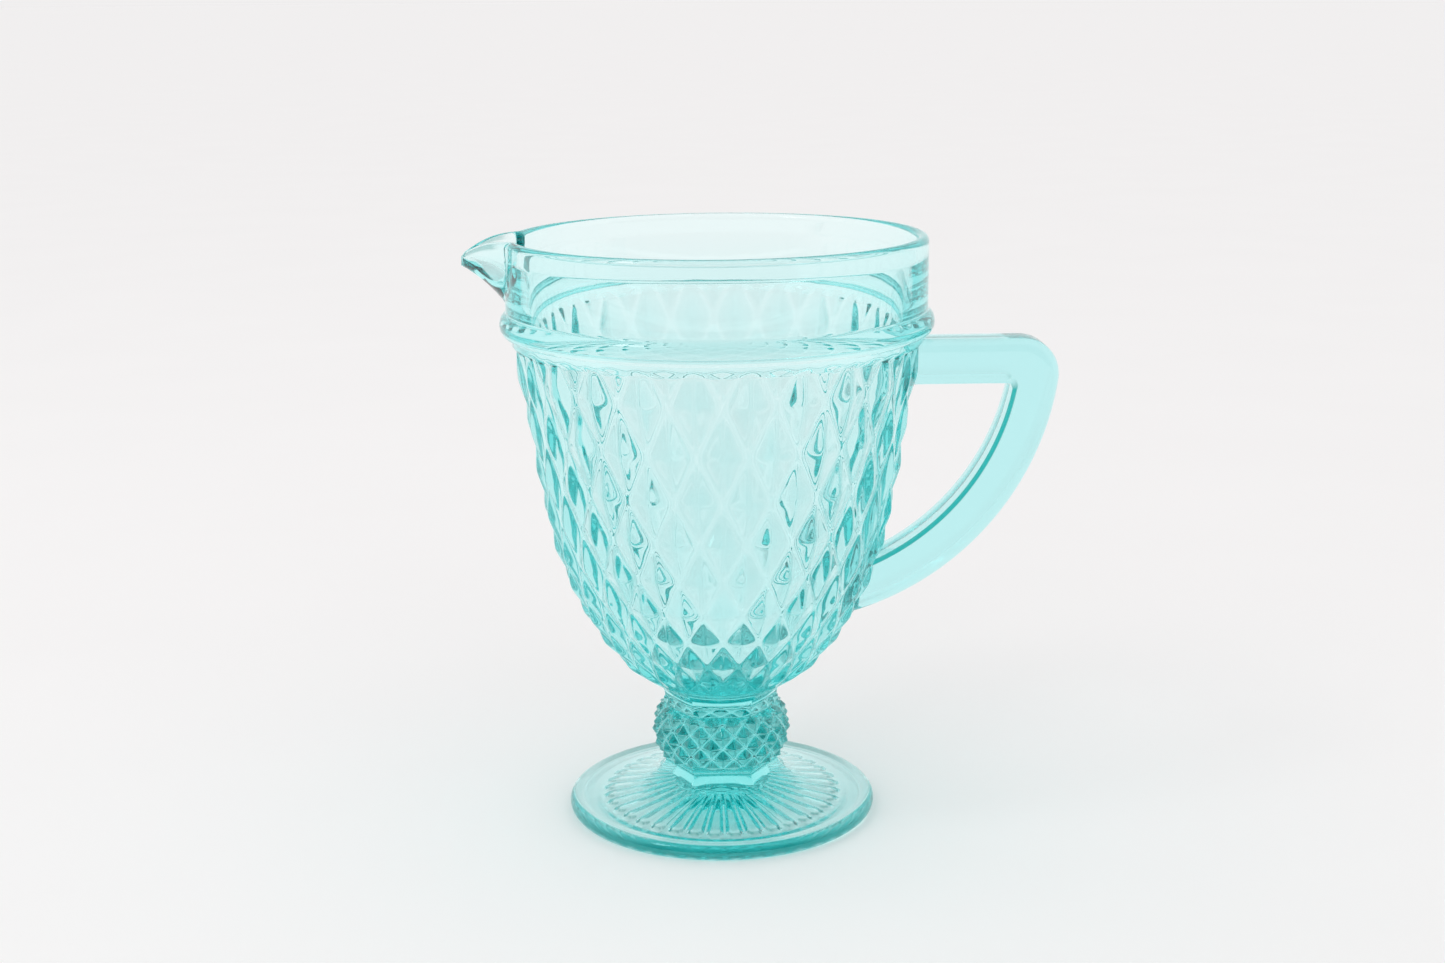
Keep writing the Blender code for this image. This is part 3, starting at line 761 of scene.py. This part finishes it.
def make_handle():
    rings = handle_rings()
    count = len(rings[0])
    points = np.concatenate(rings + [[rings[0].mean(axis=0), rings[-1].mean(axis=0)]])
    here = np.arange(count)
    after = (here + 1) % count
    faces = []
    for k in range(len(rings) - 1):
        low = k * count
        high = low + count
        faces += np.column_stack((low + here, high + here, high + after, low + after)).tolist()
    last = (len(rings) - 1) * count
    first_cap = len(points) - 2
    last_cap = len(points) - 1
    faces += [(first_cap, i, j) for i, j in zip(here.tolist(), after.tolist())]
    faces += [(last + j, last + i, last_cap) for i, j in zip(here.tolist(), after.tolist())]
    # Painted shade along the grip's inner edges
    return mesh_object("bar_handle", points, faces, grip_edge_shade(len(rings), count))


# Materials

def mixed(tree, first, second):
    # A node that mixes two colours, with its factor left to link
    mix = tree.nodes.new("ShaderNodeMix")
    mix.data_type = "RGBA"
    mix.inputs["A"].default_value = first
    mix.inputs["B"].default_value = second
    return mix


def noisy_material(name, colours, roughness, scale, height):
    # A surface whose colour, roughness and fine relief follow one noise
    material = bpy.data.materials.new(name)
    material.use_nodes = True
    tree = material.node_tree
    shader = tree.nodes["Principled BSDF"]
    place = tree.nodes.new("ShaderNodeTexCoord")
    noise = tree.nodes.new("ShaderNodeTexNoise")
    noise.inputs["Scale"].default_value = scale
    tree.links.new(place.outputs["Object"], noise.inputs["Vector"])
    colour = mixed(tree, *colours)
    tree.links.new(noise.outputs["Fac"], colour.inputs["Factor"])
    tree.links.new(colour.outputs["Result"], shader.inputs["Base Color"])
    spread = tree.nodes.new("ShaderNodeMapRange")
    spread.inputs["To Min"].default_value = roughness[0]
    spread.inputs["To Max"].default_value = roughness[1]
    tree.links.new(noise.outputs["Fac"], spread.inputs["Value"])
    tree.links.new(spread.outputs["Result"], shader.inputs["Roughness"])
    bump = tree.nodes.new("ShaderNodeBump")
    bump.inputs["Distance"].default_value = height
    tree.links.new(noise.outputs["Fac"], bump.inputs["Height"])
    tree.links.new(bump.outputs["Normal"], shader.inputs["Normal"])
    return material, tree, shader


def add_painted_shade(tree, shader):
    # Painted shade: a deeper colour where the mesh carries it
    plain = shader.inputs["Base Color"].links[0].from_socket
    layer = tree.nodes.new("ShaderNodeAttribute")
    layer.attribute_name = SHADE_LAYER
    colour = mixed(tree, CLEAR, SHADE_COLOUR)
    tree.links.new(plain, colour.inputs["A"])
    tree.links.new(layer.outputs["Fac"], colour.inputs["Factor"])
    tree.links.new(colour.outputs["Result"], shader.inputs["Base Color"])


def glass(name, colours, density, roughness):
    # Clear glass that takes its colour from its thickness, with the faint waves of pressed glass,
    # and painted shade where the mesh carries it
    material, tree, shader = noisy_material(name, colours, roughness, WAVE_SCALE, WAVE_HEIGHT)
    shader.inputs["IOR"].default_value = GLASS_IOR
    shader.inputs["Transmission Weight"].default_value = 1.0
    volume = tree.nodes.new("ShaderNodeVolumeAbsorption")
    volume.inputs["Color"].default_value = GLASS_TINT
    volume.inputs["Density"].default_value = density
    tree.links.new(volume.outputs["Volume"], tree.nodes["Material Output"].inputs["Volume"])
    # Painted shade where the mesh carries it
    add_painted_shade(tree, shader)
    return material


def in_glass(tree):
    # One for rays that come through or off a smooth surface, and nothing for others
    rays = tree.nodes.new("ShaderNodeLightPath")
    either = tree.nodes.new("ShaderNodeMath")
    either.operation = "MAXIMUM"
    tree.links.new(rays.outputs["Is Glossy Ray"], either.inputs[0])
    tree.links.new(rays.outputs["Is Transmission Ray"], either.inputs[1])
    return either.outputs["Value"]


def floor_material():
    # Matt white paper with a faint mottle
    paper = (PAPER, PAPER_SHADE)
    material, tree, shader = noisy_material(
        "studio_floor", paper, PAPER_ROUGHNESS, GRAIN_SCALE, GRAIN_HEIGHT)
    shader.inputs["Specular IOR Level"].default_value = 0.0
    # A little brighter where it shows in the glass, nearly up to white
    lift = tree.nodes.new("ShaderNodeMath")
    lift.operation = "MULTIPLY"
    lift.inputs[1].default_value = FLOOR_LIFT
    tree.links.new(in_glass(tree), lift.inputs[0])
    tree.links.new(lift.outputs["Value"], shader.inputs["Emission Strength"])
    material.cycles.emission_sampling = "NONE"
    return material


# Stage, light and camera

def make_floor():
    half = FLOOR_SIZE / 2
    corners = [(-half, -half, 0), (half, -half, 0), (half, half, 0), (-half, half, 0)]
    mesh = bpy.data.meshes.new("studio_floor")
    mesh.from_pydata(corners, [], [(0, 1, 2, 3)])
    mesh.materials.append(floor_material())
    floor = bpy.data.objects.new("studio_floor", mesh)
    floor.location.z = -FLOOR_DROP
    bpy.context.scene.collection.objects.link(floor)


def make_world():
    # A pale room. The glass shows it white, and dim towards -Y, the side that the jug is seen from
    # in the photograph.
    world = bpy.data.worlds.new("studio")
    bpy.context.scene.world = world
    world.use_nodes = True
    tree = world.node_tree
    place = tree.nodes.new("ShaderNodeTexCoord")
    parts = tree.nodes.new("ShaderNodeSeparateXYZ")
    tree.links.new(place.outputs["Generated"], parts.inputs["Vector"])
    side = tree.nodes.new("ShaderNodeMapRange")
    side.interpolation_type = "SMOOTHSTEP"
    side.inputs["From Min"].default_value = DIM_START
    side.inputs["From Max"].default_value = DIM_END
    tree.links.new(parts.outputs["Y"], side.inputs["Value"])
    room = mixed(tree, ROOM, DIM_SIDE)
    tree.links.new(side.outputs["Result"], room.inputs["Factor"])
    lit = mixed(tree, AMBIENT, ROOM)
    tree.links.new(in_glass(tree), lit.inputs["Factor"])
    tree.links.new(room.outputs["Result"], lit.inputs["B"])
    seen = mixed(tree, AMBIENT, BACKDROP)
    tree.links.new(lit.outputs["Result"], seen.inputs["A"])
    rays = tree.nodes.new("ShaderNodeLightPath")
    tree.links.new(rays.outputs["Is Camera Ray"], seen.inputs["Factor"])
    tree.links.new(seen.outputs["Result"], tree.nodes["Background"].inputs["Color"])


def make_lamp():
    # One soft lamp from the left, in front and above
    data = bpy.data.lights.new("softbox", "AREA")
    data.shape = "SQUARE"
    data.size = LAMP_SIZE
    data.energy = LAMP_POWER
    lamp = bpy.data.objects.new("softbox", data)
    lamp.location = LAMP_PLACE
    lamp.rotation_euler = Vector(LAMP_PLACE).to_track_quat("Z", "Y").to_euler()
    bpy.context.scene.collection.objects.link(lamp)


def make_camera():
    data = bpy.data.cameras.new("camera")
    data.sensor_width = SENSOR_WIDTH
    data.lens = SENSOR_WIDTH * FOCAL_PIXELS / PHOTO_WIDTH
    data.shift_x = AXIS_OFFSET_PIXELS / PHOTO_WIDTH
    camera = bpy.data.objects.new("camera", data)
    place = Matrix.Translation((
        CAMERA_DISTANCE * math.sin(CAMERA_AZIMUTH),
        -CAMERA_DISTANCE * math.cos(CAMERA_AZIMUTH),
        CAMERA_HEIGHT,
    ))
    heading = Matrix.Rotation(CAMERA_AZIMUTH, 4, "Z")
    tilt = Matrix.Rotation(math.pi / 2 - CAMERA_PITCH, 4, "X")
    roll = Matrix.Rotation(-CAMERA_ROLL, 4, "Z")
    camera.matrix_world = place @ heading @ tilt @ roll
    bpy.context.scene.collection.objects.link(camera)
    bpy.context.scene.camera = camera


def set_bounces():
    # Light turns many times inside thick glass before it leaves
    settings = bpy.context.scene.cycles
    settings.max_bounces = BOUNCES
    settings.transmission_bounces = BOUNCES
    settings.glossy_bounces = BOUNCES
    settings.diffuse_bounces = DIFFUSE_BOUNCES
    settings.blur_glossy = 0.0


body = make_body()
body.data.materials.append(glass("turquoise_glass", (CLEAR, FAINT), ABSORPTION, GLASS_ROUGHNESS))
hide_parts("foot", "stem_knop", "bowl", "rim_band", "pouring_spout")
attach(body, "root")

handle = make_handle()
satin = glass("handle_glass", (SATIN, SATIN_FAINT), HANDLE_ABSORPTION, HANDLE_ROUGHNESS)
handle.data.materials.append(satin)
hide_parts("handle")
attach(handle, "root")

make_floor()
make_world()
make_lamp()
make_camera()
bpy.context.scene.view_settings.view_transform = "Standard"
set_bounces()
